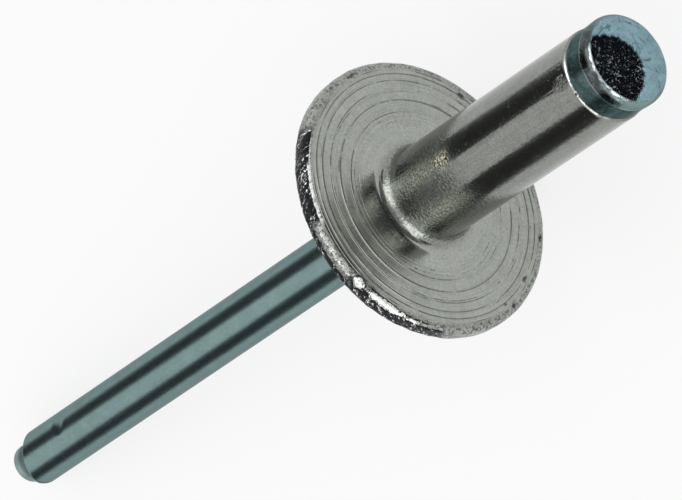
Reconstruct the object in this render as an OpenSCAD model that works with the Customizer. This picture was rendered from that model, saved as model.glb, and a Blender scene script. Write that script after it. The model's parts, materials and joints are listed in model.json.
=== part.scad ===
// Open-end blind rivet with a large flange, before setting. It lies as it comes to rest:
// on the lower edge of its flange and on the tip of its pin, with the shank end in the air.
// Millimetres. Each piece is turned about the rivet's own axis. Stations on that axis start
// at the flange's seat, with plus towards the shank's end and minus towards the pin's tip.

/* [Shank] */
// Outer diameter of the tubular shank
shank_d = 4.8; // [4:0.1:5.4]
// Length of the shank, from the flange's seat to its open end
shank_len = 14.6; // [10:0.2:24]
// Fillet where the shank grows out of the flange
fillet_r = 0.65; // [0.3:0.05:1]
// Rounding of the outer edge at the shank's open end
end_round = 0.15; // [0.05:0.05:0.25]

/* [Flange] */
// Diameter of the large flange
flange_d = 14.2; // [13:0.1:16]
// Height of the flange's rim
rim_h = 1.05; // [0.9:0.05:1.5]
// How far the low crown on the pin's side rises over the rim
crown_h = 0.7; // [0.3:0.05:1.2]
// Rounding of the rim towards the seat
seat_round = 0.4; // [0.2:0.05:0.5]
// Rounding of the rim towards the crown
crown_round = 0.3; // [0.15:0.05:0.35]
// Width of a forming ring pressed into the seat
ring_w = 0.12; // [0.06:0.02:0.16]
// Depth of a forming ring
ring_depth = 0.03; // [0.01:0.01:0.06]

/* [Mandrel pin] */
// Diameter of the pin
pin_d = 2.76; // [2.4:0.02:2.9]
// Length of the pin at full diameter, from the flange's seat to the step at its tip
pin_len = 34.6; // [26:0.1:45]
// Clearance between the pin and the bore of the shank, all round
pin_gap = 0.07; // [0.03:0.01:0.1]
// Rounding of the step's edge
step_round = 0.15; // [0.05:0.05:0.25]
// Diameter of the nub beyond the step
nub_d = 2; // [1.6:0.05:2.3]
// How far the nub stands out
nub_len = 0.75; // [0.4:0.05:1]
// Rounding of the nub's end
nub_round = 0.28; // [0.2:0.02:0.4]
// Length of the slanting cut that takes one side off the step
cut_len = 0.8; // [0.5:0.05:0.9]
// Slope of that cut from square
cut_angle = 23; // [20:1:35]
// Diameter of the neck where the pin breaks when the rivet is set
neck_d = 2; // [1.6:0.05:2.2]
// Length of the neck, with its slopes
neck_len = 0.9; // [0.6:0.1:1.4]
// Distance from the head down to the middle of the neck
neck_drop = 2.4; // [1.5:0.1:5]

/* [Mandrel head] */
// How far the head's side stays inside the shank's side
head_relief = 0.02; // [0:0.01:0.08]
// Height of the drum that sits on the shank's end
drum_h = 1.04; // [0.6:0.02:1.6]
// Step in from the drum to the cap above it
cap_step = 0.04; // [0.02:0.01:0.1]
// Height of the cap's upright side
cap_h = 0.36; // [0.1:0.02:0.6]
// Rounding between the cap's side and its top
cap_round = 0.4; // [0.2:0.02:0.6]
// How far the domed top rises over the rounding
dome_h = 0.33; // [0.15:0.01:0.5]

/* [Hidden] */
$fn = 96;

// Share of the flat seat at which each forming ring lies, from the fillet outwards
ring_shares = [0.27, 0.39, 0.54, 0.67, 0.85, 0.945];
// Direction of the slanting cut about the axis, from the seam near the floor
cut_turn = 119;
// Sides of the fine mesh that the rivet rests on, and the turn that lays one side level, so
// that the rim stands on a side and not on a corner
rest_sides = 84;
seam_turn = 180 / rest_sides;
// Share of the neck's length that is at its smallest diameter
neck_land = 0.34;
// Rounding of the head's lower edge
drum_round = 0.06;
// Room that a cutting block has past the piece that it cuts
past = 1;
// Angle of one step along an arc, on small roundings and on the others
small_round = 0.2;
small_step = 30;
fine_step = 15;

shank_r = shank_d / 2;
flange_r = flange_d / 2;
pin_r = pin_d / 2;
bore_r = pin_r + pin_gap;
drum_r = shank_r - head_relief;
cap_r = drum_r - cap_step;
nub_r = nub_d / 2;
tip_end = pin_len + nub_len;

// Centres of the roundings, as [radius, station]
crown_corner = [flange_r - crown_round, crown_round - rim_h];
seat_corner = [flange_r - seat_round, -seat_round];
step_corner = [pin_r - step_round, step_round - pin_len];
nub_corner = [nub_r - nub_round, nub_round - tip_end];
cap_corner = [cap_r - cap_round, shank_len + drum_h + cap_h];

// The crown and the dome are spheres that run smoothly into the roundings beside them
crown_r = sphere_over(crown_corner[0], crown_round, crown_h);
crown_edge = asin(crown_corner[0] / (crown_r - crown_round));
dome_r = sphere_over(cap_corner[0], cap_round, dome_h);
dome_edge = asin(cap_corner[0] / (dome_r - cap_round));
crown_centre = crown_r - rim_h - crown_h;
dome_centre = cap_corner[1] + cap_round + dome_h - dome_r;

// At rest one level floor touches the rim's rounding and the first rounding at the tip
lie_angle = min(lie_on(step_corner, step_round), lie_on(nub_corner, nub_round));
lift = crown_corner[0] * cos(lie_angle) - crown_corner[1] * sin(lie_angle) + crown_round;
head_x = lie_angle < dome_edge
    ? dome_centre * cos(lie_angle) + dome_r
    : cap_corner[0] * sin(lie_angle) + cap_corner[1] * cos(lie_angle) + cap_round;
tip_x = nub_corner[1] * cos(lie_angle) - nub_corner[0] * sin(lie_angle) - nub_round;

// Angle of the axis on a floor that touches the rim and a rounding at c with radius r
function lie_on(c, r) =
    let (reach = crown_corner - c)
    atan2(reach[0], reach[1]) + asin((crown_round - r) / norm(reach));

// Radius of a sphere on the axis that is tangent to a rounding of radius r, whose centre is
// a from the axis, and rises by h over that rounding
function sphere_over(a, r, h) = (a * a + (h + r) * (h + r) - r * r) / (2 * h);

// Points on an arc about the centre c, both ends included
function arc(c, r, from, to) =
    let (turn = abs(to - from), n = r < small_round ? ceil(turn / small_step)
                                                    : max(5, ceil(turn / fine_step)))
    [for (i = [0:n]) let (a = from + (to - from) * i / n) c + r * [cos(a), sin(a)]];

// The seat's flat, from the rim inwards, with each forming ring as a shallow vee
function seat_points() =
    let (inner = shank_r + fillet_r, wide = seat_corner[0] - inner, n = len(ring_shares))
    [for (i = [n - 1:-1:0]) let (r = inner + wide * ring_shares[i])
        each [[r + ring_w / 2, 0], [r, -ring_depth], [r - ring_w / 2, 0]]];

// Lays a piece on the floor, with the middle of the whole rivet's box over the origin
module lay_down()
    translate([-(head_x + tip_x) / 2, 0, lift])
        rotate([0, 90 - lie_angle, 0])
            rotate(seam_turn)
                children();

// Flange and tubular shank, formed as one piece with a bore right through
module rivet_body()
    color([0.70, 0.70, 0.69])
        lay_down()
            rotate_extrude()
                polygon(concat(
                    arc([0, crown_centre], crown_r, asin(bore_r / crown_r) - 90, crown_edge - 90),
                    arc(crown_corner, crown_round, crown_edge - 90, 0),
                    arc(seat_corner, seat_round, 0, 90),
                    seat_points(),
                    arc([shank_r + fillet_r, fillet_r], fillet_r, 270, 180),
                    arc([shank_r - end_round, shank_len - end_round], end_round, 0, 90),
                    [[bore_r, shank_len]]
                ));

// Pin and head without the nub: step, pin, break neck, drum and domed cap
module mandrel_blank()
    rotate_extrude()
        polygon(concat(
            [[0, -pin_len]],
            arc(step_corner, step_round, -90, 0),
            [for (s = [-1, 1]) let (mid = shank_len - neck_drop, land = neck_len * neck_land)
                each s < 0
                    ? [[pin_r, mid - neck_len / 2], [neck_d / 2, mid - land / 2]]
                    : [[neck_d / 2, mid + land / 2], [pin_r, mid + neck_len / 2]]],
            [[pin_r, shank_len]],
            arc([drum_r - drum_round, shank_len + drum_round], drum_round, -90, 0),
            [[drum_r, shank_len + drum_h], [cap_r, shank_len + drum_h]],
            arc(cap_corner, cap_round, 0, 90 - dome_edge),
            arc([0, dome_centre], dome_r, 90 - dome_edge, 90)
        ));

// Nub at the tip, with its root inside the pin
module nub()
    rotate_extrude()
        polygon(concat(
            [[0, -tip_end]],
            arc(nub_corner, nub_round, -90, 0),
            [[nub_r, past - pin_len], [0, past - pin_len]]
        ));

// Headed wire: the step is cut at a slant on one side, and the nub is left whole
module mandrel()
    color([0.46, 0.54, 0.56])
        lay_down() {
            difference() {
                mandrel_blank();
                rotate(cut_turn)
                    translate([pin_r, 0, cut_len - pin_len])
                        rotate([0, -cut_angle, 0])
                            translate([-2 * pin_d, -pin_d, -cut_len - past])
                                cube([3 * pin_d, 2 * pin_d, cut_len + past]);
            }
            nub();
        }

rivet_body();
mandrel();
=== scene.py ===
"""An unset blind rivet with a large flange, lying on a pale floor as it comes to rest.

The body is one piece of formed aluminium, flange and tubular shank. The mandrel is one piece of
zinc plated steel wire, pin and head. Each is turned about the rivet's own axis by a Geometry
Nodes tree, which also gives it its marks, and is then dressed with a procedural finish.
Lengths are millimetres unless a name says otherwise. Stations run along the axis from the
flange's seat, with plus towards the head. Turns are degrees about the axis, counted from the
side of the rivet that faces up.
"""

from __future__ import annotations

import json
import logging
import math
from dataclasses import dataclass, field
from enum import Enum
from typing import Any, Callable, ClassVar, Sequence, Union

import bpy
from mathutils import Matrix, Vector


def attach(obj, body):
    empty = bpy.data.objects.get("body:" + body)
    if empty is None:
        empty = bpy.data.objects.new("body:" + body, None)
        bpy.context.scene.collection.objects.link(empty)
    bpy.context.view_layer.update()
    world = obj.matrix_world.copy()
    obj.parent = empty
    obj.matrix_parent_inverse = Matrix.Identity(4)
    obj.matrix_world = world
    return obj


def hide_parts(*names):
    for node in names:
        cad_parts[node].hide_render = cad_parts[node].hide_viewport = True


LOG = logging.getLogger("rivet")
MM = 0.001
FULL_TURN = 2 * math.pi
SAME_POINT = 1e-4
"""Points of a profile that are nearer than this, in millimetres, are one point."""
SEAM_GAP = 2e-7
"""Reach of the weld that closes a turned sheet, in metres."""
WHITE = (1.0, 1.0, 1.0, 1.0)

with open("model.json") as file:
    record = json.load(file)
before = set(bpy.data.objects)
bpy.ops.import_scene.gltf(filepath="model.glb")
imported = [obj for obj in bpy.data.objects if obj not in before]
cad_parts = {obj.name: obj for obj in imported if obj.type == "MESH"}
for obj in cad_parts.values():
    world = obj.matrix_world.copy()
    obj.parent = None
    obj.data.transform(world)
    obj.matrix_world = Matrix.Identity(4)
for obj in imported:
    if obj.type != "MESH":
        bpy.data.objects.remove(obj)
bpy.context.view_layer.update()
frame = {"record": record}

Point = tuple[float, float]


# --- node graphs ------------------------------------------------------------------------------


def operator(operation: str, swapped: bool = False) -> Callable[[Value, Operand], Value]:
    """Makes a Python operator that adds a maths node.

    Args:
        operation: the operation's name in Blender.
        swapped: whether the Value is the second operand.

    Returns:
        The operator, as a method of Value.
    """

    def combine(self: Value, other: Operand) -> Value:
        """Adds the node."""
        pair = (other, self) if swapped else (self, other)
        return self.graph.maths(operation, *pair)

    return combine


class Value:
    """A node socket's output that takes part in Python arithmetic.

    Args:
        graph: the graph that the socket belongs to.
        socket: the output socket.
    """

    __add__, __radd__ = operator("ADD"), operator("ADD", True)
    __sub__, __rsub__ = operator("SUBTRACT"), operator("SUBTRACT", True)
    __mul__, __rmul__ = operator("MULTIPLY"), operator("MULTIPLY", True)

    def __init__(self, graph: Graph, socket: bpy.types.NodeSocket) -> None:
        """Keeps the graph and the socket."""
        self.graph = graph
        self.socket = socket

    @property
    def is_vector(self) -> bool:
        """Whether the socket carries three numbers."""
        return self.socket.type in {"VECTOR", "RGBA"}

    def __neg__(self) -> Value:
        """Negative."""
        return self * -1.0

    def __abs__(self) -> Value:
        """Size without the sign."""
        return self.graph.maths("ABSOLUTE", self)


Operand = Union[Value, float, int, tuple]


class Graph:
    """A node tree, for a material, a world or a modifier, that is filled by expressions.

    Args:
        tree: the node tree to fill.
    """

    def __init__(self, tree: bpy.types.NodeTree) -> None:
        """Keeps the tree."""
        self.tree = tree

    def node(
        self,
        kind: str,
        settings: dict[str, Any] | None = None,
        sockets: dict[str | int, Any] | None = None,
        output: str | int = 0,
    ) -> Value:
        """Adds any node.

        Args:
            kind: the node's type name.
            settings: its properties, set first.
            sockets: values or links of its inputs, by name or number.
            output: the output that is wanted.

        Returns:
            The output as a Value.
        """
        node = self.tree.nodes.new(kind)
        for name, value in (settings or {}).items():
            setattr(node, name, value)
        for key, value in (sockets or {}).items():
            self.feed(node.inputs[key], value)
        return Value(self, node.outputs[output])

    def feed(self, socket: bpy.types.NodeSocket, value: Any) -> None:
        """Links a Value to an input, or sets a plain value on it.

        Args:
            socket: the input.
            value: a Value, a tuple, or a number, which may also fill a whole vector.
        """
        if isinstance(value, Value):
            self.tree.links.new(value.socket, socket)
        elif isinstance(value, (int, float)) and hasattr(socket.default_value, "__len__"):
            socket.default_value = [value] * len(socket.default_value)
        else:
            socket.default_value = value

    def maths(self, operation: str, *values: Operand) -> Value:
        """One operation on plain values or on vectors.

        Args:
            operation: the operation's name in Blender.
            values: its operands.

        Returns:
            The result.
        """
        vectors = [isinstance(v, tuple) or (isinstance(v, Value) and v.is_vector) for v in values]
        kind = "ShaderNodeVectorMath" if any(vectors) else "ShaderNodeMath"
        return self.node(kind, {"operation": operation}, dict(enumerate(values)))

    def clip(self, value: Value) -> Value:
        """A value kept between 0 and 1."""
        return self.node("ShaderNodeClamp", None, {"Value": value})

    def at_most(self, value: Value, limit: float) -> Value:
        """A value kept from going over a limit."""
        return self.maths("MINIMUM", value, limit)

    def at_least(self, value: Value, other: Operand) -> Value:
        """The greater of two values."""
        return self.maths("MAXIMUM", value, other)

    def dot(self, a: Operand, b: Operand) -> Value:
        """Dot product of two vectors."""
        settings = {"operation": "DOT_PRODUCT"}
        return self.node("ShaderNodeVectorMath", settings, {0: a, 1: b}, "Value")

    def join(self, x: Operand, y: Operand, z: Operand) -> Value:
        """A vector of three plain values."""
        return self.node("ShaderNodeCombineXYZ", None, {0: x, 1: y, 2: z})

    def split(self, vector: Value) -> tuple[Value, Value, Value]:
        """The three plain values of a vector."""
        first = self.node("ShaderNodeSeparateXYZ", None, {0: vector})
        outputs = first.socket.node.outputs
        return tuple(Value(self, outputs[i]) for i in range(3))

    def smooth(self, value: Operand, low: float, high: float) -> Value:
        """A smooth step.

        Args:
            value: what it follows.
            low: where it is 0.
            high: where it is 1, above low or below it.

        Returns:
            The step.
        """
        rising = self.node(
            "ShaderNodeMapRange",
            {"interpolation_type": "SMOOTHSTEP"},
            {"Value": value, "From Min": min(low, high), "From Max": max(low, high)},
        )
        return rising if low < high else 1 - rising

    def noise(
        self,
        vector: Value,
        scale: float,
        detail: float = 2.0,
        roughness: float = 0.5,
        warp: float = 0.0,
    ) -> Value:
        """Smooth noise about 0.5, with scale in waves for each unit of the vector."""
        pattern = {"Scale": scale, "Detail": detail, "Roughness": roughness, "Distortion": warp}
        return self.node("ShaderNodeTexNoise", None, {"Vector": vector, **pattern})

    def blend(self, share: Operand, first: Any, second: Any) -> Value:
        """A colour that goes from the first to the second as the share goes from 0 to 1.

        Args:
            share: the second colour's share, which may go past 0 and 1 and is cut off there.
            first: the first colour.
            second: the second colour.

        Returns:
            The mixed colour.
        """
        mix = self.tree.nodes.new("ShaderNodeMix")
        mix.data_type = "RGBA"
        mix.clamp_factor = True
        inputs = {s.identifier: s for s in mix.inputs}
        self.feed(inputs["Factor_Float"], share)
        self.feed(inputs["A_Color"], first)
        self.feed(inputs["B_Color"], second)
        return Value(self, {s.identifier: s for s in mix.outputs}["Result_Color"])

    def coats(self, colour: Value, *coats: tuple[Operand, Any]) -> Value:
        """A colour with others laid over it in turn, each by its share."""
        for share, over in coats:
            colour = self.blend(share, colour, over)
        return colour


@dataclass
class Place:
    """Where a point of the surface is, as fields: millimetres and radians about the axis."""

    vector: Value
    x: Value
    y: Value
    radius: Value
    turn: Value
    station: Value

    @property
    def graph(self) -> Graph:
        """The graph that the fields belong to."""
        return self.turn.graph

    def past(self, turn: float) -> Value:
        """Angle past a turn in degrees, in radians and at most half a turn either way."""
        return self.graph.maths("WRAP", self.turn - math.radians(turn), math.pi, -math.pi)

    def facing(self, turn: float) -> Value:
        """How far a place faces a turn in degrees: 1 on that side, -1 on the other."""
        return self.graph.maths("COSINE", self.turn - math.radians(turn))

    def around(self, along: float, across: float, turns: float, twist: float = 0.0) -> Value:
        """Coordinates that stretch a pattern round the axis without a break.

        Args:
            along: waves for each millimetre of station.
            across: waves for each millimetre of radius.
            turns: waves round the axis.
            twist: how far the pattern slants, in radians for each millimetre of station.

        Returns:
            The vector for a noise at scale 1.
        """
        g, spread = self.graph, turns / FULL_TURN
        angle = self.turn + self.station * twist if twist else self.turn
        x, y = (g.maths(wave, angle) * spread for wave in ("COSINE", "SINE"))
        return g.join(x, y, self.station * along + self.radius * across)


# --- where the rivet lies -----------------------------------------------------------------------


@dataclass(frozen=True)
class Lie:
    """How the rivet lies: its axis is tilted up from the floor by its flange."""

    axis: Vector
    foot: Vector

    @classmethod
    def from_record(cls, record: dict) -> Lie:
        """Reads the axis from the shank's mount, and the seat's plane from the seat's mount.

        Args:
            record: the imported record.

        Returns:
            The lie.
        """
        mounts = {m["name"]: m for m in record["mounts"]}
        axis = Vector(mounts["shank"]["axis"]).normalized()
        on_axis = Vector(mounts["shank"]["pos_m"])
        on_seat = Vector(mounts["seat"]["pos_m"])
        return cls(axis, on_axis + axis * (on_seat - on_axis).dot(axis))

    @property
    def tilt(self) -> float:
        """Angle of the axis over the floor, in radians."""
        return math.asin(self.axis.z)

    @property
    def up(self) -> Vector:
        """Across the axis, towards the side that faces up."""
        return Vector((-self.axis.z, 0.0, self.axis.x))

    @property
    def side(self) -> Vector:
        """Across the axis and level, a quarter turn on from up."""
        return self.axis.cross(self.up)

    def direction(self, turn: float) -> Vector:
        """Across the axis at a turn in degrees from the side that faces up."""
        a = math.radians(turn)
        return self.up * math.cos(a) + self.side * math.sin(a)

    def place_from_row(self, vector: Value) -> Place:
        """Turns row coordinates in metres into a Place, seen from the rivet's own axis."""
        local = (vector - tuple(self.foot)) * (1 / MM)
        sides = (self.up, self.side, self.axis)
        return self._place(*(vector.graph.dot(local, tuple(side)) for side in sides))

    def place_on_lathe(self, vector: Value) -> Place:
        """Turns coordinates on the lathe, in metres with the axis along Z, into a Place."""
        return self._place(*vector.graph.split(vector * (1 / MM)))

    @staticmethod
    def _place(x: Value, y: Value, z: Value) -> Place:
        """Fills a Place from the three coordinates in millimetres."""
        g = x.graph
        radius = g.maths("SQRT", x * x + y * y)
        return Place(g.join(x, y, z), x, y, radius, g.maths("ARCTAN2", y, x), z)


# --- profiles and the lathe ---------------------------------------------------------------------


class Profile:
    """A half section of a turned piece, as points of radius and station."""

    def __init__(self) -> None:
        """Starts without points."""
        self.points: list[Point] = []

    def to(self, radius: float, station: float, steps: int = 1) -> Profile:
        """Goes straight on to a point.

        Args:
            radius: the point's radius.
            station: its station.
            steps: how many equal steps it takes.

        Returns:
            The profile.
        """
        if not self.points:
            self.points.append((radius, station))
            return self
        r0, z0 = self.points[-1]
        for i in range(1, steps + 1):
            t = i / steps
            self.points.append((r0 + (radius - r0) * t, z0 + (station - z0) * t))
        return self

    def arc(self, centre: Point, radius: float, start: float, end: float, steps: int) -> Profile:
        """Goes round an arc, both ends included.

        Args:
            centre: its centre.
            radius: its radius.
            start: the angle of its start, in degrees from straight out.
            end: the angle of its end.
            steps: how many steps it takes.

        Returns:
            The profile.
        """
        for i in range(steps + 1):
            a = math.radians(start + (end - start) * i / steps)
            point = (centre[0] + radius * math.cos(a), centre[1] + radius * math.sin(a))
            if not self.points or math.dist(point, self.points[-1]) > SAME_POINT:
                self.points.append(point)
        return self


def crown_ball(reach: float, corner: float, height: float) -> tuple[float, float]:
    """The ball of a low crown that runs smoothly into a rounded corner.

    Args:
        reach: distance of the corner's centre from the axis.
        corner: the corner's radius.
        height: the crown's height over the corner.

    Returns:
        The ball's radius, and the angle from the axis at which the corner takes over.
    """
    ball = (reach * reach + (height + corner) ** 2 - corner * corner) / (2 * height)
    return ball, math.degrees(math.asin(reach / (ball - corner)))


@dataclass
class Shape:
    """How a surface departs from its turned form, as fields.

    Attributes:
        height: outwards, along the normal, in millimetres.
        slide: along the axis, in millimetres.
        masks: shares that the finish reads, by attribute name.
    """

    height: Value
    slide: Operand = 0.0
    masks: dict[str, Value] = field(default_factory=dict)


Relief = Callable[[Place], Shape]


@dataclass
class Lathe:
    """Turns a profile into a closed mesh, gives it its relief and lays it on the floor.

    Attributes:
        INPUTS: the tree's named inputs, with their types.
        lie: how the rivet lies.
        steps: faces round the axis.
        crease: edge angle, in radians, from which an edge is sharp.
    """

    INPUTS: ClassVar[dict[str, str]] = {
        "Steps": "NodeSocketInt",
        "Points": "NodeSocketInt",
        "Lean": "NodeSocketFloat",
        "Foot": "NodeSocketVector",
        "Finish": "NodeSocketMaterial",
    }

    lie: Lie
    steps: int
    crease: float = 0.7

    def turn(
        self, name: str, profile: Profile, relief: Relief, finish: bpy.types.Material
    ) -> bpy.types.Object:
        """Makes one turned piece.

        Args:
            name: the piece's name.
            profile: its half section, from one end to the other.
            relief: gives, for each place, how the surface departs from the turned form.
            finish: the piece's material.

        Returns:
            The piece as a plain mesh in the row's frame.
        """
        wire = bpy.data.meshes.new(name + "_profile")
        points = [(r * MM, 0.0, z * MM) for r, z in profile.points]
        wire.from_pydata(points, [(i, i + 1) for i in range(len(points) - 1)], [])
        blank = bpy.data.objects.new(name + "_profile", wire)
        bpy.context.scene.collection.objects.link(blank)
        modifier = blank.modifiers.new("Turning", "NODES")
        modifier.node_group = self._tree(name, relief)
        names = {
            s.name: s.identifier
            for s in modifier.node_group.interface.items_tree
            if s.item_type == "SOCKET" and s.in_out == "INPUT"
        }
        lean = math.pi / 2 - self.lie.tilt
        given = (self.steps, len(points), lean, tuple(self.lie.foot), finish)
        for label, value in zip(self.INPUTS, given):
            modifier[names[label]] = value
        blank.update_tag()
        depsgraph = bpy.context.evaluated_depsgraph_get()
        mesh = bpy.data.meshes.new_from_object(blank.evaluated_get(depsgraph))
        mesh.name = name
        blank.modifiers.remove(modifier)
        bpy.data.objects.remove(blank)
        bpy.data.meshes.remove(wire)
        piece = bpy.data.objects.new(name, mesh)
        bpy.context.scene.collection.objects.link(piece)
        return piece

    def _tree(self, name: str, relief: Relief) -> bpy.types.NodeTree:
        """Builds the tree that turns the profile.

        Args:
            name: the piece's name.
            relief: its relief.

        Returns:
            The node tree.
        """
        tree = bpy.data.node_groups.new(name + "_turning", "GeometryNodeTree")
        face = tree.interface
        face.new_socket("Profile", in_out="INPUT", socket_type="NodeSocketGeometry")
        for label, kind in self.INPUTS.items():
            face.new_socket(label, in_out="INPUT", socket_type=kind)
        face.new_socket("Piece", in_out="OUTPUT", socket_type="NodeSocketGeometry")
        g = Graph(tree)
        given = tree.nodes.new("NodeGroupInput")
        inputs = {s.name: Value(g, s) for s in given.outputs if s.name}

        counts = {"Vertices X": inputs["Steps"] + 1, "Vertices Y": inputs["Points"]}
        piece = g.node("GeometryNodeMeshGrid", None, {"Size X": 1.0, "Size Y": 1.0, **counts})
        position = g.node("GeometryNodeInputPosition")
        across, along, _ = g.split(position)
        row = (along + 0.5) * (inputs["Points"] - 1)
        point = g.node(
            "GeometryNodeSampleIndex",
            {"data_type": "FLOAT_VECTOR", "domain": "POINT"},
            {
                "Geometry": inputs["Profile"],
                "Value": position,
                "Index": g.node("FunctionNodeFloatToInt", {"rounding_mode": "ROUND"}, {0: row}),
            },
        )
        radius, _, station = g.split(point)
        angle = (across + 0.5) * FULL_TURN
        turned = g.join(radius * g.maths("COSINE", angle), radius * g.maths("SINE", angle), station)
        shape = relief(self.lie.place_on_lathe(position))
        offset = g.node("GeometryNodeInputNormal") * (shape.height * MM)
        slide = g.join(0.0, 0.0, shape.slide * MM)
        lean = g.join(0.0, -inputs["Lean"], math.pi)
        corner = g.maths("GREATER_THAN", g.node("GeometryNodeInputMeshEdgeAngle"), self.crease)
        attribute = {"data_type": "FLOAT", "domain": "POINT"}
        sharp = {"Selection": corner, "Shade Smooth": False}
        for kind, settings, sockets in (
            ("GeometryNodeSetPosition", None, {"Position": turned}),
            ("GeometryNodeMergeByDistance", None, {"Distance": SEAM_GAP}),
            *(
                ("GeometryNodeStoreNamedAttribute", attribute, {"Name": label, "Value": mask})
                for label, mask in shape.masks.items()
            ),
            ("GeometryNodeSetPosition", None, {"Offset": offset + slide}),
            ("GeometryNodeTransform", None, {"Translation": inputs["Foot"], "Rotation": lean}),
            ("GeometryNodeSetShadeSmooth", None, {}),
            ("GeometryNodeSetShadeSmooth", {"domain": "EDGE"}, sharp),
            ("GeometryNodeRealizeInstances", None, {}),
            ("GeometryNodeSetMaterial", None, {"Material": inputs["Finish"]}),
        ):
            piece = g.node(kind, settings, {"Geometry": piece, **sockets})
        end = tree.nodes.new("NodeGroupOutput")
        tree.links.new(piece.socket, end.inputs[0])
        return tree


# --- marks on the surface -----------------------------------------------------------------------


class MarkKind(Enum):
    """What a mark does to the surface."""

    NICK = -1.0
    SCUFF = -0.5
    BURR = 1.0


@dataclass(frozen=True)
class Mark:
    """A small nick, scuff or burr on a turned surface.

    Attributes:
        kind: whether it goes in or out.
        turn: its place about the axis, in degrees.
        station: its place along the axis.
        radius: its distance from the axis.
        length: its reach each way round the axis.
        width: its reach each way across.
        depth: how far it goes in or out.
        jag: how ragged its outline is.
    """

    kind: MarkKind
    turn: float
    station: float
    radius: float
    length: float
    width: float
    depth: float
    jag: float = 1.5

    def share(self, place: Place) -> Value:
        """The mark's strength.

        Args:
            place: the place on the surface.

        Returns:
            The strength, 1 in the mark's middle and rounded off to nothing at its reach.
        """
        g = place.graph
        along = place.past(self.turn) * (self.radius / self.length)
        rise = (place.station - self.station) * (1 / self.width)
        reach = (place.radius - self.radius) * (1 / self.width)
        ragged = (g.noise(place.vector, 7.0, 3.0, 0.7) - 0.5) * self.jag
        inside = 1 - along * along - rise * rise - reach * reach + ragged
        return g.smooth(inside, 0.0, 1.2)

    def height(self, place: Place) -> Value:
        """The mark's height over the surface."""
        return self.share(place) * (self.depth * self.kind.value)


@dataclass(frozen=True)
class FormingRing:
    """A fine ring that the forming die left in the flange's seat.

    Attributes:
        radius: its distance from the axis.
        width: half its width.
        depth: its depth where it is whole.
        wholeness: share of the way round over which it shows.
    """

    radius: float
    width: float
    depth: float
    wholeness: float

    def share(self, place: Place) -> Value:
        """The ring's strength.

        Args:
            place: the place on the surface.

        Returns:
            The strength, 1 on the ring's line and broken up round the axis.
        """
        g = place.graph
        spot = place.around(0.0, 0.0, 20.0) + (self.radius * 7.3, 0.0, self.radius * 2.1)
        off = (place.radius - self.radius) * (1 / self.width)
        line = g.at_least(1 - off * off, 0.0)
        worn = g.noise(spot, 1.0, 4.0, 0.7)
        shows = g.smooth(worn, 0.66 - 0.36 * self.wholeness, 0.78 - 0.36 * self.wholeness)
        return line * (0.15 + 0.85 * shows)

    def crest_highlight(self, place: Place) -> Value:
        """The strength of the painted highlight along the ring's outer edge."""
        off = (place.radius - self.radius - 1.8 * self.width) * (1.3 / self.width)
        return place.graph.at_least(1 - off * off, 0.0) * self.wholeness


class RimState(Enum):
    """What became of a stretch of the rim when the flange was cut out."""

    TORN = "torn"
    WIPED = "wiped"
    ROLLED = "rolled"


@dataclass(frozen=True)
class RimStretch:
    """A stretch of the rim that was torn, wiped smooth, or rolled over.

    Attributes:
        state: which of the three.
        start: where it starts about the axis, in degrees.
        end: where it ends.
        inner: how far over the seat's edge it starts, going round the rim.
        outer: how far over it ends.
        jag: how ragged its outline is.
    """

    state: RimState
    start: float
    end: float
    inner: float
    outer: float
    jag: float = 0.30

    def share(self, place: Place, over: Value) -> Value:
        """The stretch's strength, with a ragged outline.

        Args:
            place: the place on the surface.
            over: how far the place is over the seat's edge.

        Returns:
            The share, from 0 to 1.
        """
        g = place.graph
        ragged = (g.noise(place.vector, 3.4, 4.0, 0.7) - 0.5) * self.jag
        half = math.radians((self.end - self.start) / 2)
        gap = abs(place.past((self.start + self.end) / 2)) + ragged * 0.4
        level = over + ragged
        return (
            g.smooth(gap, half + 0.02, half - 0.04)
            * g.smooth(level, self.inner - 0.03, self.inner + 0.03)
            * g.smooth(level, self.outer + 0.03, self.outer - 0.03)
        )


def total(parts: Sequence[Value]) -> Value:
    """Sum of a list of values."""
    return sum(parts[1:], parts[0])


# --- finishes -----------------------------------------------------------------------------------


@dataclass(frozen=True)
class Metal:
    """A bare or plated metal.

    Attributes:
        name: the material's name.
        edge_tint: the tint of grazing reflections.
    """

    name: str
    edge_tint: tuple

    def start(self, lie: Lie) -> tuple[bpy.types.Material, Graph, bpy.types.Node, Place]:
        """Makes an empty metal material.

        Args:
            lie: how the rivet lies, for the pattern's coordinates.

        Returns:
            The material, its graph, its shader node and the surface's place.
        """
        material = bpy.data.materials.new(self.name)
        material.use_nodes = True
        g = Graph(material.node_tree)
        shader = next(n for n in material.node_tree.nodes if n.type == "BSDF_PRINCIPLED")
        shader.inputs["Metallic"].default_value = 1.0
        where = g.node("ShaderNodeTexCoord", output="Object")
        return material, g, shader, lie.place_from_row(where)

    def end(self, shader: bpy.types.Node, colour: Value, rough: Value, height: Value) -> None:
        """Feeds the shader.

        Args:
            shader: the shader's node.
            colour: the base colour.
            rough: the roughness.
            height: a bump's height in millimetres.
        """
        g = colour.graph
        bump = {"Strength": 1.0, "Distance": MM, "Height": height}
        g.feed(shader.inputs["Base Color"], colour)
        g.feed(shader.inputs["Roughness"], rough)
        g.feed(shader.inputs["Normal"], g.node("ShaderNodeBump", None, bump, "Normal"))
        shader.inputs["Specular Tint"].default_value = self.edge_tint


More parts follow.
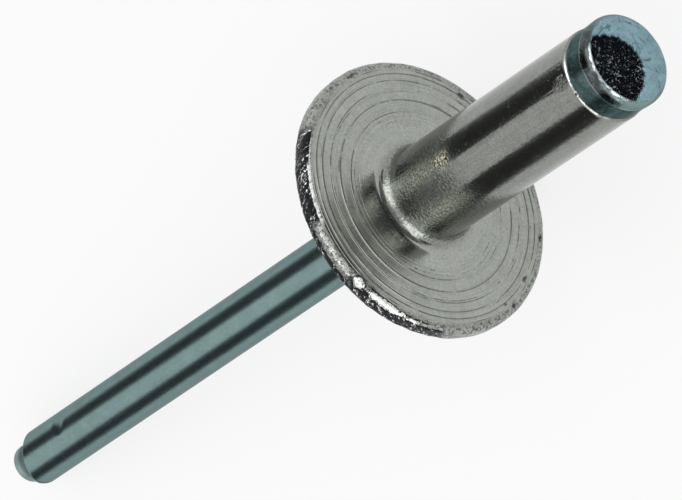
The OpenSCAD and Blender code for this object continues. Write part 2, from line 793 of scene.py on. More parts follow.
@dataclass(frozen=True)
class FormedAluminium(Metal):
    """Bright aluminium, cold formed: satin on the flange, burnished on the shank, torn at the rim.

    Attributes:
        bright: the metal's clean share.
        dull: its dull share.
        soil: the dirt in rings, nicks and pits.
        pitch: painted shade, near black, over the torn metal and its hollows, and the painted
            shadow round the burr.
        bare_white_and_highlight: white for freshly bared metal, and for painted highlights and
            glints.
        straw_reflection: painted reflections, as warm specks, at the foot of the shank.
        shine_turn: the side, in degrees, on which the painted reflections at the shank's foot, the
            painted shade round the fillet and the painted highlights on the rings and the shank's
            end are put.
        straw_reflection_turn: how far the two patches of painted reflections are from it, in
            degrees.
        straw_reflection_bright: the bright patch's station.
        straw_reflection_faint: the faint patch's station.
        coarse: the stations where the shank's coarse grain has gone, and where it is whole.
    """

    name: str = "formed_aluminium"
    edge_tint: tuple = (0.95, 0.95, 0.95, 1.0)
    bright: tuple = (0.43, 0.45, 0.415, 1.0)
    dull: tuple = (0.27, 0.285, 0.262, 1.0)
    soil: tuple = (0.035, 0.036, 0.036, 1.0)
    pitch: tuple = (0.014, 0.015, 0.017, 1.0)
    bare_white_and_highlight: tuple = (0.92, 0.93, 0.91, 1.0)
    straw_reflection: tuple = (1.0, 0.94, 0.72, 1.0)
    shine_turn: float = 2.5
    straw_reflection_turn: float = 25.0
    straw_reflection_bright: float = 4.4
    straw_reflection_faint: float = 3.2
    coarse: Point = (5.6, 3.6)

    def make(self, lie: Lie, body: RivetBody) -> bpy.types.Material:
        """Builds the material.

        Args:
            lie: how the rivet lies.
            body: the body, for the places of its marks.

        Returns:
            The material.
        """
        material, g, shader, p = self.start(lie)
        shank, flange, foot = body.shank_radius, body.flange_radius, body.shank_radius + body.fillet
        on_shank = g.smooth(p.radius, foot, shank + 0.1)
        on_face = g.smooth(p.station, -0.12, -0.04) * g.smooth(p.radius, foot - 0.1, foot + 0.3)
        outer_face = on_face * g.smooth(p.radius, foot + 0.2, foot + 1.5)
        on_rim = g.smooth(p.radius, flange - 0.50, flange - 0.32)
        near_foot = g.smooth(p.radius, shank + 0.35, shank + 0.05)
        near_foot = near_foot * g.smooth(p.station, *self.coarse)
        end_highlight = g.smooth(p.station, body.shank_length - 0.12, body.shank_length - 0.04)
        inward = p.facing(self.shine_turn)
        torn, wiped, rolled = (body.rim_share(p, state) for state in RimState)
        nicks, scuffs, burrs = (body.mark_share(p, kind) for kind in MarkKind)
        rings = total([x.share(p) for x in body.rings]) * g.smooth(p.station, -0.12, -0.08)
        # painted highlights: white lines along the rings' outer edges, on the side that faces up
        # only
        crest_highlights = total([x.crest_highlight(p) for x in body.rings]) * on_face * g.smooth(inward, 0.70, 0.92)

        grain = g.noise(p.vector, 7.0, 1.5, 0.5)
        speck = g.noise(p.vector, 11.0, 2.0, 0.6)
        cloud = g.noise(p.vector, 1.3, 2.0, 0.5)
        crumbs = g.noise(p.vector, 6.0, 4.0, 0.75)
        hoops = g.noise(p.around(0.0, 9.0, 9.0), 1.0, 3.0, 0.6)
        spokes = g.noise(p.around(0.0, 0.8, 170.0), 1.0, 2.0, 0.6)
        drawn = g.noise(p.around(0.35, 0.0, 120.0), 1.0, 2.0, 0.5)
        shear = g.noise(p.around(2.0, 2.0, 220.0, 0.16), 1.0, 4.0, 0.7, 0.5)
        scrape = g.noise(p.around(1.2, 0.0, 70.0, 0.5), 1.0, 3.0, 0.7)
        pits = g.smooth(g.noise(p.vector, 6.5, 4.0, 0.75), 0.655, 0.72)
        # painted reflections: warm specks at the shank's foot, in two patches beside the side that
        # faces up
        straw_reflection = g.smooth(g.noise(p.vector, 10.0, 3.0, 0.7, 0.5), 0.50, 0.57) * self.straw_reflection_share(p)
        facets = g.smooth(shear, 0.44, 0.49)
        strip = wiped * (1 - torn)
        crest_highlights = crest_highlights * g.smooth(hoops, 0.36, 0.52)

        lines = (hoops - 0.5) * 1.2 + (spokes - 0.5) * 0.7
        dull = 0.42 + (grain - 0.5) * (0.9 + near_foot * 2.6) + lines * on_face
        dull = dull + (speck - 0.5) * (1.5 + near_foot * 3) + (cloud - 0.5) * 0.5
        # painted shade: the fillet and the face beside it go darker, on the side that faces up only
        fillet_shade = g.smooth(p.radius, foot + 0.95, foot) * g.smooth(p.radius, foot - 0.42, foot - 0.15)
        fillet_shade = fillet_shade * g.smooth(inward, 0.82, 0.96) * (0.7 + (crumbs - 0.5) * 2.0)
        # the shank is darker all round in its own tone; the fillet's part is painted shade
        shade = 1 - 0.34 * on_shank * (1 + (drawn - 0.5) * 0.7) - 0.45 * fillet_shade
        dirt = on_rim * g.smooth(crumbs, 0.46, 0.60) * 0.75 * (1 - wiped)
        dirt = dirt + pits * (0.3 + 0.5 * on_rim)
        dirt = dirt + rolled * 0.72 + scuffs * g.smooth(scrape, 0.52, 0.62) * 0.6 + nicks * 0.9
        shadow = g.smooth(burrs, 0.03, 0.14) * g.smooth(burrs, 0.42, 0.26)
        # painted highlights: white glints in the torn rim's streaks, and a white top on the burr
        glint = g.smooth(shear, 0.54, 0.59) * torn * g.smooth(crumbs, 0.49, 0.55)
        burr_highlight = g.smooth(burrs, 0.26, 0.42) * g.smooth(crumbs, 0.40, 0.46)
        # painted highlight: a white line on the shank's end edge, on the side that faces up only
        end_highlight = end_highlight * g.smooth(inward, 0.55, 0.80) * g.smooth(cloud, 0.40, 0.55)
        # white share: bared metal on the wiped strip and scuffs, and painted highlights on the torn
        # rim's glints, the burr's top, the rings' outer edges and the shank's end
        bared_and_highlights = glint + burr_highlight + strip * (1 - shadow) * (0.2 + 0.8 * facets)
        bared_and_highlights = bared_and_highlights + scuffs * g.smooth(scrape, 0.46, 0.38) * 0.5 + crest_highlights * 1.5 + end_highlight * 0.7
        colour = g.coats(
            g.blend(dull, self.bright, self.dull) * shade,
            (g.at_most(rings * 0.6, 0.75), self.soil),
            (g.at_most(dirt, 0.95), self.soil),
            # painted shade: the torn rim goes near black; next, a painted shadow rings the burr
            (torn, self.pitch),
            (shadow * 0.85, self.pitch),
            (bared_and_highlights, self.bare_white_and_highlight),
            (straw_reflection, self.straw_reflection),
        )

        rough = 0.10 + outer_face * 0.20 + on_rim * 0.02 + on_shank * 0.07 + crest_highlights * 0.5
        rough = rough + straw_reflection * 0.35 + strip * facets * g.smooth(p.turn, 0.1, -0.1) * 0.30
        rough = rough + (grain - 0.5) * 0.06 + (cloud - 0.5) * 0.05
        height = (
            (speck - 0.5) * 0.0012 * (1 + near_foot * 3)
            + (grain - 0.5) * 0.0032 * (0.6 + on_shank * 0.9 + near_foot * 4.5)
            + ((hoops - 0.5) * 0.004 + (spokes - 0.5) * 0.0015 - rings * 0.006) * on_face
            + (drawn - 0.5) * on_shank * 0.003
            - pits * 0.008
            + (crumbs - 0.5) * on_rim * 0.06 * (1 - wiped * 0.5 - rolled * 0.6)
            + (shear - 0.5) * (torn * 0.08 + wiped * 0.04)
            + (scrape - 0.5) * scuffs * 0.05
        )
        self.end(shader, colour, g.at_least(rough, 0.06), height)
        return material

    def straw_reflection_share(self, p: Place) -> Value:
        """Where painted reflections shine at the foot of the shank, as warm coloured specks.

        Args:
            p: the place on the surface.

        Returns:
            The share: two patches, one on each side, and the first the brighter.
        """
        g = p.graph
        gap = abs(p.past(self.shine_turn))
        beside = g.smooth(abs(gap - math.radians(self.straw_reflection_turn)), 0.26, 0.04)
        bright = g.smooth(abs(p.station - self.straw_reflection_bright), 0.9, 0.2)
        bright = bright * g.smooth(p.turn, 0.2, -0.2)
        faint = g.smooth(abs(p.station - self.straw_reflection_faint), 2.0, 1.0) * 0.42
        return beside * g.at_least(bright, faint)


@dataclass(frozen=True)
class ZincPlate(Metal):
    """Drawn steel wire with thin blue-grey zinc, and the rough patch where it was cut, where the
    steel shows.

    Attributes:
        pale: the pin's pale share.
        deep: its deep share.
        top_pale_reflection: the head's top, a paler, bluer copy of the zinc: painted reflection of
            the pale room.
        top_deep_reflection: the same painted reflection, deep.
        band: painted shade, a dark copy of the zinc, on the head's drum.
        stain_and_shade: smudges and pits, and the painted shade on one side of the cap and at the
            tip's step.
        patch_shade: painted shade, near black, over the rough patch and its hollows.
        bare_white_and_highlight: white for painted highlights: glints in the rough patch, the
            bright crescent beside it, and a line on the cap's lowest edge.
        blue: the bluer smears on the pin.
        cut: the nub's cut steel.
    """

    name: str = "zinc_plate"
    edge_tint: tuple = (0.50, 0.54, 0.54, 1.0)
    pale: tuple = (0.25, 0.35, 0.34, 1.0)
    deep: tuple = (0.15, 0.23, 0.23, 1.0)
    top_pale_reflection: tuple = (0.30, 0.46, 0.52, 1.0)
    top_deep_reflection: tuple = (0.15, 0.25, 0.29, 1.0)
    band: tuple = (0.040, 0.068, 0.070, 1.0)
    stain_and_shade: tuple = (0.055, 0.050, 0.050, 1.0)
    patch_shade: tuple = (0.010, 0.011, 0.015, 1.0)
    bare_white_and_highlight: tuple = (0.72, 0.82, 0.86, 1.0)
    blue: tuple = (0.19, 0.29, 0.33, 1.0)
    cut: tuple = (0.40, 0.50, 0.49, 1.0)

    def make(self, lie: Lie, mandrel: Mandrel) -> bpy.types.Material:
        """Builds the material.

        Args:
            lie: how the rivet lies.
            mandrel: the mandrel, for the places of its parts.

        Returns:
            The material.
        """
        material, g, shader, p = self.start(lie)
        seat, tip = mandrel.seat_station, -mandrel.pin_length
        rise = seat + mandrel.drum_height
        on_head = g.smooth(p.station, seat - 0.05, seat + 0.05)
        on_pin = 1 - on_head
        on_cap = g.smooth(p.station, rise - 0.03, rise + 0.01)
        on_drum = on_head * (1 - on_cap)
        on_top = on_cap * g.smooth(p.radius, mandrel.cap_radius - 0.10, mandrel.cap_radius - 0.22)
        side = on_cap * (1 - on_top)
        on_nub = g.smooth(p.radius, mandrel.nub_radius + 0.06, mandrel.nub_radius + 0.02)
        on_nub = on_nub * g.smooth(p.station, tip + 0.8, tip + 0.6)
        # painted shadow: a soft dark band at the step between nub and pin
        step_shade = g.smooth(abs(p.station - (tip + 0.12)), 0.45, 0.10)
        torn, lip = (
            g.node("ShaderNodeAttribute", {"attribute_name": mask}, None, "Fac")
            for mask in ("torn", "lip")
        )

        grain = g.noise(p.vector, 8.0, 3.0, 0.6)
        speck = g.noise(p.vector, 22.0, 2.0, 0.55)
        cloud = g.noise(p.vector, 1.1, 3.0, 0.55)
        drawn = g.noise(p.around(0.10, 0.0, 160.0), 1.0, 3.0, 0.6)
        smear = g.noise(p.vector, 2.4, 4.0, 0.65, 0.6)
        crumbs = g.noise(p.vector, 13.0, 4.0, 0.75)
        crust = g.node("ShaderNodeTexVoronoi", None, {"Vector": p.vector, "Scale": 7.0})
        pits = g.smooth(g.noise(p.vector, 5.5, 4.0, 0.7), 0.62, 0.70)
        scuff = g.smooth(g.noise(p.vector, 1.7, 4.0, 0.7, 1.2), 0.58, 0.64)
        arcs = g.smooth(g.noise(p.around(0.0, 2.6, 5.0), 1.0, 4.0, 0.7), 0.57, 0.66)
        # painted highlights: sparkles in the rough patch, more on its low side
        glint = g.smooth(g.noise(p.vector, 8.0, 3.0, 0.7, 1.0), 0.57, 0.63)

        deep = 0.42 + (grain - 0.5) * 0.8 + (cloud - 0.5) * 0.9 + (drawn - 0.5) * on_pin * 0.5
        deep = deep + (speck - 0.5) * 0.5 + (smear - 0.5) * on_top * 1.2
        # painted shade: the cap's rounding goes darker on one side
        cap_shade = side * g.smooth(p.facing(mandrel.cap_shade_turn), 0.2, 0.85)
        low = g.smooth(p.turn, math.radians(-70.0), math.radians(15.0))
        glint = glint * g.smooth(smear, 0.40, 0.56) * (0.35 + 0.65 * low)
        # painted highlight: a bright line on the cap's lowest edge
        edge = on_cap * g.smooth(p.station, rise + 0.06, rise + 0.02) * 0.35
        colour = g.coats(
            g.blend(deep, self.pale, self.deep),
            (g.smooth(smear, 0.50, 0.66) * on_pin * 0.6, self.blue),
            # painted reflection: the head's top takes a paler, bluer copy of the zinc
            (on_top, g.blend(deep, self.top_pale_reflection, self.top_deep_reflection)),
            # painted shade: the head's drum takes a dark copy of the zinc
            (on_drum * g.clip(0.82 + (smear - 0.5) * 1.1), self.band),
            (cap_shade * (0.62 + 0.28 * g.smooth(smear, 0.60, 0.50)), self.stain_and_shade),
            (pits * (0.2 + 0.45 * on_head), self.stain_and_shade),
            (g.at_least(scuff, arcs) * on_top * 0.6, self.stain_and_shade),
            (on_nub * 0.6, self.cut),
            (step_shade * 0.6, self.stain_and_shade),
            # painted shade: the rough patch goes near black
            (torn, self.patch_shade),
            # painted highlights: glints, the bright crescent and the cap's edge line
            (glint * torn + lip + edge, self.bare_white_and_highlight),
        )

        rough = 0.24 + (grain - 0.5) * 0.06 + on_top * 0.10 + on_drum * 0.06 + torn * 0.04
        rough = rough + on_nub * 0.35 - side * 0.08
        height = (
            (speck - 0.5) * 0.0010
            + (grain - 0.5) * 0.0018 * (0.6 + on_head)
            + (smear - 0.5) * on_head * 0.02 * (1 - torn)
            + (drawn - 0.5) * on_pin * 0.0015
            - pits * on_head * 0.008
            + torn * (crumbs * 0.10 - crust * 0.10)
        )
        self.end(shader, colour, g.at_least(rough, 0.08), height)
        return material


# --- the two pieces -----------------------------------------------------------------------------


RINGS = (
    (3.95, 0.035, 0.009, 0.30),
    (4.16, 0.035, 0.009, 0.40),
    (4.38, 0.040, 0.015, 0.60),
    (4.50, 0.035, 0.011, 0.30),
    (5.00, 0.045, 0.019, 0.85),
    (5.09, 0.035, 0.009, 0.30),
    (5.46, 0.040, 0.013, 0.50),
    (5.57, 0.040, 0.015, 0.55),
    (6.03, 0.042, 0.018, 0.85),
    (6.13, 0.035, 0.011, 0.40),
    (6.38, 0.040, 0.018, 0.80),
    (6.61, 0.040, 0.015, 0.60),
)
"""The body's forming rings: radius, width, depth and wholeness of each."""

RIM = {
    RimState.TORN: (
        (-55.0, -37.0, 0.13, 1.30),
        (-38.0, -12.0, 0.27, 1.34),
        (-27.0, -13.0, -0.08, 0.03, 0.12),
        (-13.0, 14.0, 0.90, 1.34),
        (13.0, 60.0, 0.50, 1.34),
        (19.0, 33.0, 0.03, 0.16, 0.12),
        (31.0, 52.0, 0.18, 0.30, 0.12),
    ),
    RimState.WIPED: (
        (18.5, 33.0, 0.18, 0.54, 0.14),
        (32.0, 46.0, 0.32, 0.54, 0.14),
        (-50.0, -38.0, 0.07, 0.14, 0.24),
        (-39.0, -11.0, 0.05, 0.27, 0.20),
        (-10.0, 12.0, 0.53, 0.57, 0.90),
    ),
    RimState.ROLLED: ((-19.0, 13.0, -0.14, 0.12, 0.12),),
}
"""The stretches of the body's rim: start, end, inner, outer and jag of each."""

MARKS = {
    MarkKind.BURR: (
        (16.0, -0.14, 6.94, 0.46, 0.36, 0.22, 0.5),
        (30.0, -0.12, 6.95, 1.50, 0.26, 0.05),
    ),
    MarkKind.NICK: (
        (13.0, -0.35, 7.05, 0.30, 0.35, 0.10),
        (21.5, -0.02, 6.70, 0.34, 0.10, 0.06),
        (-90.5, -0.05, 6.78, 0.34, 0.15, 0.10),
        (-149.0, -0.03, 6.45, 0.40, 0.16, 0.09),
        (113.5, -0.03, 6.42, 0.28, 0.13, 0.08),
        (137.0, -0.03, 6.72, 0.25, 0.12, 0.09),
        (95.0, -0.02, 6.45, 0.18, 0.10, 0.05),
        (99.0, -0.04, 6.75, 0.25, 0.14, 0.07),
        (-24.0, 14.1, 2.4, 0.10, 0.30, 0.03),
        (3.0, 14.55, 2.35, 0.18, 0.12, 0.05),
    ),
    MarkKind.SCUFF: ((-18.0, 13.95, 2.4, 0.50, 0.75, 0.03, 2.2),),
}
"""The body's marks: turn, station, radius, length, width, depth and jag of each."""


@dataclass
class RivetBody:
    """Flange and tubular shank, one piece with a bore right through.

    Attributes are the sizes of the formed piece, the place in the bore where its profile starts
    and ends, the fineness of its mesh, and then its marks.
    """

    shank_radius: float = 2.4
    shank_length: float = 14.6
    fillet: float = 0.65
    end_round: float = 0.15
    flange_radius: float = 7.1
    rim_height: float = 1.05
    crown_height: float = 0.7
    seat_round: float = 0.4
    crown_round: float = 0.3
    bore_radius: float = 1.45
    joint_station: float = -1.3
    steps: int = 480
    face_step: float = 0.075
    rings: tuple[FormingRing, ...] = tuple(FormingRing(*row) for row in RINGS)
    rim: tuple[RimStretch, ...] = tuple(
        RimStretch(state, *row) for state, rows in RIM.items() for row in rows
    )
    marks: tuple[Mark, ...] = tuple(
        Mark(kind, *row) for kind, rows in MARKS.items() for row in rows
    )

    def mark_share(self, p: Place, kind: MarkKind) -> Value:
        """How strong the marks of a kind are at a place."""
        return total([x.share(p) for x in self.marks if x.kind is kind])

    def rim_share(self, p: Place, state: RimState) -> Value:
        """How far the rim is torn, wiped or rolled over at a place.

        Args:
            p: the place on the surface.
            state: which of the three.

        Returns:
            The share, from 0 to 1.
        """
        g = p.graph
        over = p.radius - p.station - (self.flange_radius - self.seat_round)
        side = g.smooth(p.station, -1.08, -0.98)
        side = side * g.smooth(p.radius, self.flange_radius - 0.6, self.flange_radius - 0.5)
        return total([x.share(p, over) for x in self.rim if x.state is state]) * side

    def profile(self) -> Profile:
        """The half section.

        Returns:
            The profile, from the bore out over crown, rim, seat and shank, and back in the bore.
        """
        flange, shank = self.flange_radius, self.shank_radius
        crown_corner = (flange - self.crown_round, self.crown_round - self.rim_height)
        seat_corner = (flange - self.seat_round, -self.seat_round)
        ball, edge = crown_ball(crown_corner[0], self.crown_round, self.crown_height)
        centre = ball - self.rim_height - self.crown_height
        mouth = math.degrees(math.asin(self.bore_radius / ball))
        out = Profile()
        out.to(self.bore_radius, self.joint_station)
        out.arc((0.0, centre), ball, mouth - 90, edge - 90, 18)
        out.arc(crown_corner, self.crown_round, edge - 90, 0, 8)
        out.to(flange, -self.seat_round, 6)
        out.arc(seat_corner, self.seat_round, 0, 90, 12)
        for ring in sorted(self.rings, key=lambda x: -x.radius):
            start = ring.radius + ring.width
            out.to(start, 0.0, max(1, round((out.points[-1][0] - start) / self.face_step)))
            out.to(ring.radius - ring.width, 0.0, 4)
        out.to(shank + self.fillet, 0.0, 10)
        out.arc((shank + self.fillet, self.fillet), self.fillet, 270, 180, 14)
        out.to(shank, self.shank_length - 1.2, 18)
        out.to(shank, self.shank_length - self.end_round, 12)
        end_corner = (shank - self.end_round, self.shank_length - self.end_round)
        out.arc(end_corner, self.end_round, 0, 90, 5)
        out.to(self.bore_radius, self.shank_length, 2)
        out.to(self.bore_radius, self.shank_length - 0.6)
        out.to(self.bore_radius, self.joint_station)
        return out

    def relief(self, p: Place) -> Shape:
        """How the surface departs from its turned form.

        Args:
            p: the place on the surface.

        Returns:
            The shape.
        """
        g = p.graph
        inside = g.smooth(p.radius, self.bore_radius + 0.1, self.bore_radius + 0.3)
        rim = g.smooth(p.radius, self.flange_radius - 0.35, self.flange_radius - 0.05)
        foot = self.shank_radius + self.fillet
        face = g.smooth(p.station, -0.10, -0.02) * g.smooth(p.radius, foot + 0.1, foot + 0.5)
        crown = g.smooth(p.station, -0.95, -1.05) * (1 - rim)
        lumps = g.noise(p.vector, 1.1, 2.0, 0.5)
        wave = g.noise(p.vector, 0.35, 1.0, 0.5)
        coarse = g.noise(p.around(1.5, 1.0, 90.0), 1.0, 3.0, 0.6)
        torn = self.rim_share(p, RimState.TORN)
        dents = g.noise(p.vector, 1.6, 2.0, 0.5)
        die = g.noise(p.around(0.0, 3.0, 5.0), 1.0, 2.0, 0.5)
        height = total(
            [
                (lumps - 0.62) * rim * 0.07,
                (coarse - 0.75) * rim * (0.03 + torn * 0.10),
                (wave - 0.55) * face * 0.02,
                (dents - 0.55) * (1 - rim) * 0.006,
                (die - 0.65) * crown * 0.02,
            ]
            + [ring.share(p) * face * -ring.depth for ring in self.rings]
            + [mark.height(p) for mark in self.marks]
        )
        return Shape(height * inside)

    def build(self, lie: Lie) -> bpy.types.Object:
        """Makes the piece, dresses it and puts it in place of its solid.

        Args:
            lie: how the rivet lies.

        Returns:
            The piece.
        """
        finish = FormedAluminium().make(lie, self)
        piece = Lathe(lie, self.steps).turn("body_formed", self.profile(), self.relief, finish)
        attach(piece, "root")
        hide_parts("rivet_body")
        return piece


@dataclass
class Mandrel:
    """Pin and head, one piece of wire.

    Attributes are the sizes of the headed wire, the slanting cut at its tip, the rough patch and
    the side of its head that takes painted shade, the fineness of its mesh, and then its marks.
    """

    pin_radius: float = 1.38
    pin_length: float = 34.6
    step_round: float = 0.26
    step_hollow: float = 0.10
    nub_radius: float = 1.0
    nub_length: float = 0.75
    nub_round: float = 0.28
    cut_length: float = 0.8
    cut_angle: float = 23.0
    cut_turn: float = -59.0
    slide_reach: float = 1.4
    seat_station: float = 14.6
    drum_radius: float = 2.33
    drum_height: float = 1.04
    drum_round: float = 0.06
    cap_radius: float = 2.36
    cap_height: float = 0.36
    cap_round: float = 0.40
    dome_height: float = 0.33
    torn_offset: float = 1.50
    torn_turn: float = 2.5
    torn_radius: float = 1.83
    torn_edge: float = 2.17
    cap_shade_turn: float = -18.0
    steps: int = 420
    marks: tuple[Mark, ...] = (Mark(MarkKind.SCUFF, -43.0, -30.5, 1.38, 0.75, 0.55, 0.08, 0.0),)

    def profile(self) -> Profile:
        """The half section.

        Returns:
            The profile, from the tip to the top of the head.
        """
        pin, drum, cap = self.pin_radius, self.drum_radius, self.cap_radius
        tip = self.pin_length + self.nub_length
        corner = (cap - self.cap_round, self.seat_station + self.drum_height + self.cap_height)
        ball, edge = crown_ball(corner[0], self.cap_round, self.dome_height)
        centre = corner[1] + self.cap_round + self.dome_height - ball
        rise = self.seat_station + self.drum_height
        out = Profile()
        out.to(0.0, -tip)
        out.to(self.nub_radius - self.nub_round, -tip, 5)
        out.arc((self.nub_radius - self.nub_round, self.nub_round - tip), self.nub_round, -90, 0, 7)
        hollow = self.step_hollow
        out.to(self.nub_radius, -self.pin_length - hollow, 3)
        out.arc((self.nub_radius + hollow, -self.pin_length - hollow), hollow, 180, 90, 4)
        step_corner = (pin - self.step_round, self.step_round - self.pin_length)
        out.arc(step_corner, self.step_round, -90, 0, 7)
        dent = self.marks[0].station
        for station, steps in (
            (self.slide_reach - self.pin_length, 9),
            (dent - 0.7, 4),
            (dent + 0.7, 14),
            (0.0, 40),
            (self.seat_station, 6),
        ):
            out.to(pin, station, steps)
        drum_corner = (drum - self.drum_round, self.seat_station + self.drum_round)
        out.to(drum_corner[0], self.seat_station, 2)
        out.arc(drum_corner, self.drum_round, -90, 0, 4)
        out.to(drum, rise - 0.03, 8)
        out.arc((drum - 0.03, rise - 0.03), 0.03, 0, 90, 2)
        out.to(cap, rise, 1)
        out.to(cap, corner[1], 5)
        out.arc(corner, self.cap_round, 0, 90 - edge, 14)
        out.arc((0.0, centre), ball, 90 - edge, 90, 50)
        return out

    def patch(self, p: Place) -> tuple[Value, Value]:
        """The rough patch on top of the head, where the wire was cut off.

        Args:
            p: the place on the surface.

        Returns:
            The patch's mask, and that of the painted highlight, a bright crescent, on its near
            side.
        """
        g, a = p.graph, math.radians(self.torn_turn)
        jag = (g.noise(p.vector, 2.6, 4.0, 0.7) - 0.5) * 0.5
        dx = p.x - self.torn_offset * math.cos(a)
        dy = p.y - self.torn_offset * math.sin(a)
        gap = g.maths("SQRT", dx * dx + dy * dy) + jag
        fine = jag * 0.12 + p.radius
        corner = self.seat_station + self.drum_height + self.cap_height
        top = g.smooth(p.station, corner, corner + 0.05)
        within = g.smooth(gap, self.torn_radius + 0.03, self.torn_radius - 0.05) * top
        torn = within * g.smooth(fine, self.torn_edge + 0.01, self.torn_edge - 0.04)
        swell = (g.noise(p.vector, 1.9, 3.0, 0.6) - 0.5) * 0.22
        # painted highlight: a bright crescent beside the rough patch's near side
        band = g.smooth(fine, self.torn_edge - 0.03, self.torn_edge)
        band = band * g.smooth(fine + swell, self.torn_edge + 0.10, self.torn_edge + 0.07)
        near = g.smooth(gap, self.torn_radius - 0.15, self.torn_radius - 0.45) * top
        return torn, band * near

    def relief(self, p: Place) -> Shape:
        """How the surface departs from its turned form.

        Args:
            p: the place on the surface.

        Returns:
            The shape, with the rough patch and its painted highlight as masks.
        """
        g = p.graph
        torn, lip = self.patch(p)
        crumbs = g.noise(p.vector, 6.0, 4.0, 0.7)
        head = g.smooth(p.station, self.seat_station + 0.02, self.seat_station + 0.1)
        height = total(
            [
                torn * ((crumbs - 0.75) * 0.30 - 0.05),
                (g.noise(p.vector, 1.4, 2.0, 0.5) - 0.58) * head * (1 - torn) * 0.03,
                (g.noise(p.vector, 0.8, 2.0, 0.5) - 0.6) * (1 - head) * 0.008,
            ]
            + [mark.height(p) for mark in self.marks]
        )
        turn = math.radians(self.cut_turn)
        reach = p.x * math.cos(turn) + p.y * math.sin(turn)
        level = self.cut_length - (self.pin_radius - reach) * math.tan(math.radians(self.cut_angle))
        ends = {"From Min": self.slide_reach - self.pin_length, "From Max": -self.pin_length}
        squeeze = g.node("ShaderNodeMapRange", None, {"Value": p.station, **ends})
        on_pin = g.maths("GREATER_THAN", p.radius, self.nub_radius + 0.02)
        slide = g.at_least(level, 0.0) * squeeze * on_pin
        return Shape(height, slide, {"torn": torn, "lip": lip})

    def build(self, lie: Lie) -> bpy.types.Object:
        """Makes the piece, dresses it and puts it in place of its solid.

        Args:
            lie: how the rivet lies.

        Returns:
            The piece.
        """
        finish = ZincPlate().make(lie, self)
        piece = Lathe(lie, self.steps).turn("mandrel_headed", self.profile(), self.relief, finish)
        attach(piece, "root")
        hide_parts("mandrel")
        return piece


# --- the studio ---------------------------------------------------------------------------------


@dataclass(frozen=True)
class Card:
    """A flat card that only reflections show, standing or lying at a place, in metres.

    Attributes:
        name: its name.
        corners: its four corners.
        level: how bright it is, with the white room at 1.
    """

    name: str
    corners: tuple
    level: float

    @classmethod
    def seen(cls, name: str, corners: Sequence[Point], away: float, level: float) -> Card:
        """A card placed by where its corners are seen from the rivet.

        Args:
            name: its name.
            corners: for each corner, its bearing from the way the head points and its elevation.
            away: how far the corners are.
            level: how bright it is.

        Returns:
            The card.
        """
        places = []
        for corner in corners:
            b, e = map(math.radians, corner)
            out = away * math.cos(e)
            places.append((out * math.cos(b), out * math.sin(b), away * math.sin(e)))
        return cls(name, tuple(places), level)

    @classmethod
    def pair(cls, name: str, corners: Sequence[Point], away: float, level: float) -> tuple:
        """Two cards that mirror each other, to the left and to the right.

        Args:
            name: their name, without the side.
            corners: the left one's corners, as bearings and elevations.
            away: how far the corners are.
            level: how bright they are.

        Returns:
            The two cards.
        """
        return tuple(
            cls.seen(f"{name}_{side}", [(k * b, e) for b, e in corners], away, level)
            for side, k in (("left", 1), ("right", -1))
        )

    @classmethod
    def leaning(cls, name: str, side: float, level: float) -> Card:
        """A long card behind the rivet on one side, which leans outwards.

        Args:
            name: its name.
            side: 1 for the left, -1 for the right.
            level: how bright it is.

        Returns:
            The card.
        """
        aside, near = side * 0.10, -0.068 - side * 0.006
        aside_top, height = side * 0.15, 0.21
        foot = (near, aside, 0.0), (-0.27, aside, 0.0)
        top = (-0.37, aside_top, height), (-0.12, aside_top, height)
        return cls(name, foot + top, level)


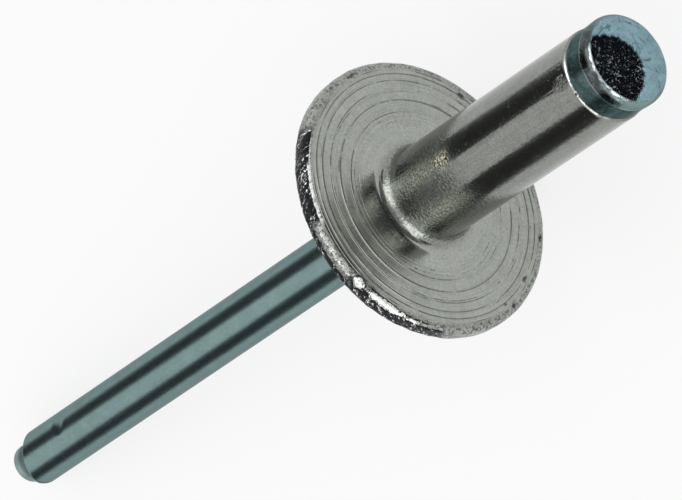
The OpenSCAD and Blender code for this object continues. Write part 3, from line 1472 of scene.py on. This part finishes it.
@dataclass
class Studio:
    """A white room with a pale floor, and cards that only the metal shows.

    Attributes:
        floor_half: half the floor's width, in metres.
        floor_colour: the floor's own colour.
        white_share: how much of the floor is plain white to the eye and to the metal.
        cards: dark flags, and a bright panel high on each side.
    """

    floor_half: float = 1.5
    floor_colour: tuple = (0.88, 0.88, 0.88, 1.0)
    white_share: float = 0.75
    cards: tuple = (
        Card.seen("flag_front", [(-13, 0), (13, 0), (11, 35), (-11, 35)], 0.30, 0.15),
        Card.seen("flag_camera", [(-26, 35), (26, 35), (22, 58), (-22, 58)], 0.40, 0.45),
        *Card.pair("flag_beside", [(12, 0), (34, 0), (34, 33), (12, 33)], 0.32, 0.25),
        *Card.pair("flag_near", [(38, 0), (51, 0), (51, 18), (38, 18)], 0.40, 0.03),
        *Card.pair("panel", [(27, 62), (38, 25), (110, 20), (102, 72)], 0.50, 2.7),
        Card.leaning("flag_left", 1.0, 0.04),
        Card.leaning("flag_right", -1.0, 0.04),
    )

    def build(self) -> None:
        """Makes the floor, the cards and the world."""
        self._world()
        half = self.floor_half
        corners = ((-half, -half, 0.0), (half, -half, 0.0), (half, half, 0.0), (-half, half, 0.0))
        floor = self._sheet("floor", corners, self._floor_material())
        [self._card(card) for card in self.cards]

    @staticmethod
    def _sheet(
        name: str, corners: Sequence[tuple], material: bpy.types.Material
    ) -> bpy.types.Object:
        """Makes a flat sheet.

        Args:
            name: its name.
            corners: its four corners.
            material: its material.

        Returns:
            The sheet.
        """
        mesh = bpy.data.meshes.new(name)
        mesh.from_pydata(list(corners), [], [(0, 1, 2, 3)])
        mesh.materials.append(material)
        sheet = bpy.data.objects.new(name, mesh)
        bpy.context.scene.collection.objects.link(sheet)
        return sheet

    @staticmethod
    def _blank(name: str) -> tuple[bpy.types.Material, Graph]:
        """Makes a material without nodes.

        Args:
            name: its name.

        Returns:
            The material and its graph.
        """
        material = bpy.data.materials.new(name)
        material.use_nodes = True
        material.node_tree.nodes.clear()
        return material, Graph(material.node_tree)

    @staticmethod
    def _glow(g: Graph, level: float) -> Value:
        """A white emission."""
        return g.node("ShaderNodeEmission", None, {"Color": WHITE, "Strength": level})

    def _card(self, card: Card) -> bpy.types.Object:
        """Makes a card that shows in reflections only.

        Args:
            card: where it is and how bright.

        Returns:
            The card's sheet.
        """
        material, g = self._blank(card.name)
        self._end(self._glow(g, card.level))
        sheet = self._sheet(card.name, card.corners, material)
        sheet.visible_camera = False
        sheet.visible_diffuse = False
        sheet.visible_transmission = False
        sheet.visible_shadow = False
        return sheet

    @staticmethod
    def _end(surface: Value) -> None:
        """Links a shader to the material's output."""
        out = surface.graph.tree.nodes.new("ShaderNodeOutputMaterial")
        surface.graph.feed(out.inputs["Surface"], surface)

    def _seen(self, g: Graph) -> Value:
        """Tells what is seen from what only lights.

        Args:
            g: the graph.

        Returns:
            1 for camera, glossy and transmission rays, and 0 for others.
        """
        rays = g.tree.nodes.new("ShaderNodeLightPath").outputs
        camera, glossy, through = (
            Value(g, rays[n]) for n in ("Is Camera Ray", "Is Glossy Ray", "Is Transmission Ray")
        )
        return g.at_least(g.at_least(camera, glossy), through)

    def _floor_material(self) -> bpy.types.Material:
        """The floor's material: pale and matt, with plain white mixed in for a soft shadow.

        Returns:
            The material.
        """
        material, g = self._blank("floor")
        matt = g.node("ShaderNodeBsdfDiffuse", None, {"Color": self.floor_colour})
        share = self._seen(g) * self.white_share
        self._end(g.node("ShaderNodeMixShader", None, {0: share, 1: matt, 2: self._glow(g, 1.0)}))
        return material

    def _world(self) -> None:
        """A plain white world."""
        world = bpy.data.worlds.new("studio")
        bpy.context.scene.world = world
        world.use_nodes = True
        background = next(n for n in world.node_tree.nodes if n.type == "BACKGROUND")
        background.inputs["Color"].default_value = WHITE
        background.inputs["Strength"].default_value = 1.0


@dataclass
class Viewpoint:
    """The camera, close over the head's end, with the rivet running up and to the right.

    Attributes:
        facing: angle of the rivet's axis out of the picture's plane, in degrees.
        turn: side of the rivet that faces the camera, in degrees from up.
        slant: the axis's angle in the picture, in degrees up from level.
        distance: from the seat's centre to the camera, along the line of sight.
        aside: how far the seat's centre lies right of the picture's middle.
        above: how far it lies over the middle.
        lens: focal length.
    """

    facing: float = 46.73
    turn: float = 2.5
    slant: float = 34.14
    distance: float = 394.7
    aside: float = 4.096
    above: float = 2.614
    lens: float = 434.75

    def build(self, lie: Lie) -> bpy.types.Object:
        """Makes the camera.

        Args:
            lie: how the rivet lies.

        Returns:
            The camera.
        """
        facing, slant = math.radians(self.facing), math.radians(self.slant)
        back = lie.axis * math.sin(facing) + lie.direction(self.turn) * math.cos(facing)
        back.normalize()
        run = (lie.axis - back * lie.axis.dot(back)).normalized()
        cross = back.cross(run)
        right = run * math.cos(slant) - cross * math.sin(slant)
        up = run * math.sin(slant) + cross * math.cos(slant)
        middle = lie.foot - (right * self.aside + up * self.above) * MM
        place = middle + back * self.distance * MM
        data = bpy.data.cameras.new("camera")
        data.lens = self.lens
        data.sensor_width = 36.0
        data.clip_start = 0.02
        camera = bpy.data.objects.new("camera", data)
        turn = Matrix((right, up, back)).transposed().to_4x4()
        camera.matrix_world = Matrix.Translation(place) @ turn
        bpy.context.scene.collection.objects.link(camera)
        bpy.context.scene.camera = camera
        return camera


def main() -> None:
    """Builds the rivet and its studio, and reports each piece."""
    logging.basicConfig(level=logging.INFO, format="%(message)s")
    bpy.context.scene.view_settings.view_transform = "Standard"
    lie = Lie.from_record(frame["record"])
    Viewpoint().build(lie)
    for maker in (RivetBody(), Mandrel()):
        piece = maker.build(lie)
        LOG.info("%s: %d faces", piece.name, len(piece.data.polygons))
    Studio().build()


if __name__ == "__main__":
    main()
